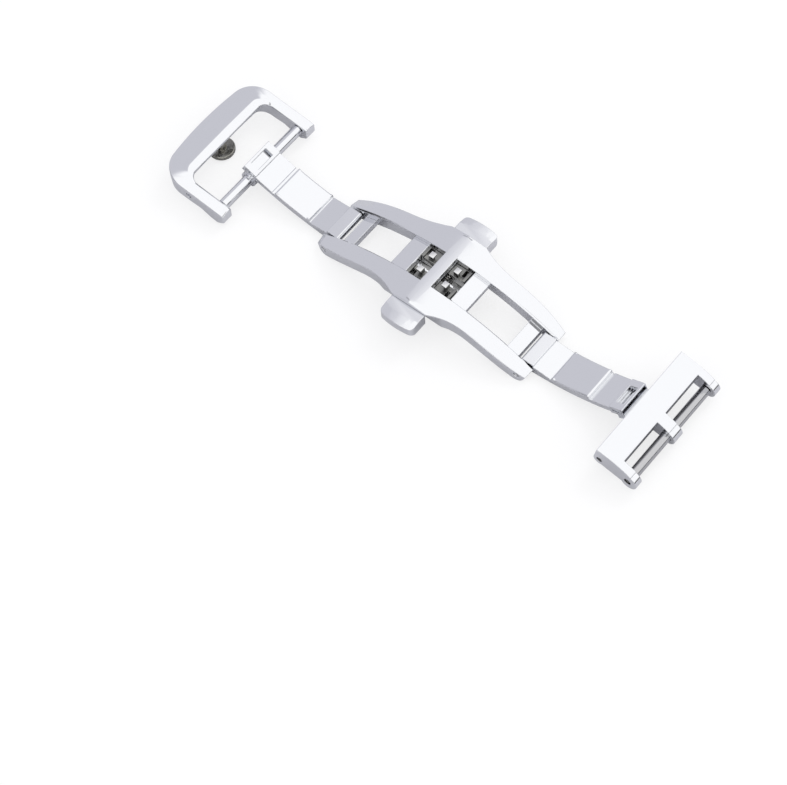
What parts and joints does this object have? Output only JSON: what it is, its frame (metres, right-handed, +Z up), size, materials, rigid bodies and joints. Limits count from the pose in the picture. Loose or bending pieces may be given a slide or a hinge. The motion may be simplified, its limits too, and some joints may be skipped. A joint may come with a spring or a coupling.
{
  "type": "deployant clasp",
  "caption": "Folding watch-strap clasp in polished steel: an arched bridge with side pushers, hinged blades, a D-shaped stud buckle and a strap head with a spring bar.",
  "frame": {"origin": "middle of the mechanism cover's flat underside, under the middle of the bridge", "axes": "+X along the open clasp towards the strap head, +Y across the strap, +Z up and away from the wrist's side of the bridge"},
  "size_m": [0.0918, 0.0222, 0.0065],
  "materials": {
    "polished_steel": "mirror-polished stainless steel",
    "turned_steel": "fine-turned stainless steel",
    "spring_steel": "drawn spring wire"
  },
  "bodies": {
    "bridge": {"bridge_frame": "polished_steel", "mechanism_cover": "polished_steel", "cover_screws": "turned_steel", "buckle_hinge_pin": "turned_steel", "strap_hinge_pin": "turned_steel", "return_springs": "spring_steel"},
    "buckle_blade": {"buckle_blade": "polished_steel"},
    "strap_blade": {"strap_blade": "polished_steel"},
    "buckle": {"buckle_frame": "polished_steel", "buckle_bar_pin": "turned_steel", "strap_stud": "turned_steel"},
    "bar_tube": {"buckle_bar_tube": "polished_steel"},
    "head": {"strap_head": "polished_steel", "head_hinge_pin": "turned_steel"},
    "spring_bar": {"spring_bar_tube": "turned_steel", "spring_bar_spring": "spring_steel"},
    "bar_tip_left": {"spring_bar_tip_left": "turned_steel"},
    "bar_tip_right": {"spring_bar_tip_right": "turned_steel"},
    "front_button": {"push_button_front": "polished_steel", "latch_slide_front": "turned_steel"},
    "rear_button": {"push_button_rear": "polished_steel", "latch_slide_rear": "turned_steel"}
  },
  "joints": [
    {"name": "buckle_fold", "type": "hinge", "parent": "bridge", "child": "buckle_blade", "pos_m": [-0.0186, 0, -0.00183], "axis": [0, 1, 0], "range_deg": [0, 152.3]},
    {"name": "strap_fold", "type": "hinge", "parent": "bridge", "child": "strap_blade", "pos_m": [0.0186, 0, -0.00183], "axis": [0, -1, 0], "range_deg": [0, 152.3]},
    {"name": "buckle_swing", "type": "hinge", "parent": "buckle_blade", "child": "buckle", "pos_m": [-0.03563, 0, -0.00072], "axis": [0, -1, 0], "range_deg": [-30, 154.3]},
    {"name": "head_swing", "type": "hinge", "parent": "strap_blade", "child": "head", "pos_m": [0.03776, 0, 0.0004], "axis": [0, 1, 0], "range_deg": [0, 160]},
    {"name": "bar_tube_turn", "type": "hinge", "parent": "buckle", "child": "bar_tube", "pos_m": [-0.03563, 0, -0.00072], "axis": [0, 1, 0], "continuous": true},
    {"name": "spring_bar_turn", "type": "hinge", "parent": "head", "child": "spring_bar", "pos_m": [0.04283, 0, -0.0007], "axis": [0, 1, 0], "continuous": true},
    {"name": "front_press", "type": "slide", "parent": "bridge", "child": "front_button", "axis": [0, 1, 0], "range_m": [0, 0.00075], "stiffness_N_per_m": 600, "springref_m": -0.0008},
    {"name": "rear_press", "type": "slide", "parent": "bridge", "child": "rear_button", "axis": [0, -1, 0], "range_m": [0, 0.00075], "stiffness_N_per_m": 600, "springref_m": -0.0008},
    {"name": "bar_tip_left_press", "type": "slide", "parent": "spring_bar", "child": "bar_tip_left", "axis": [0, 1, 0], "range_m": [0, 0.0009], "stiffness_N_per_m": 300, "springref_m": -0.001},
    {"name": "bar_tip_right_press", "type": "slide", "parent": "spring_bar", "child": "bar_tip_right", "axis": [0, -1, 0], "range_m": [0, 0.0009], "stiffness_N_per_m": 300, "springref_m": -0.001}
  ],
  "couplings": [
    {"joint": "head_swing", "follows": "strap_fold", "ratio": 0.9606}
  ]
}
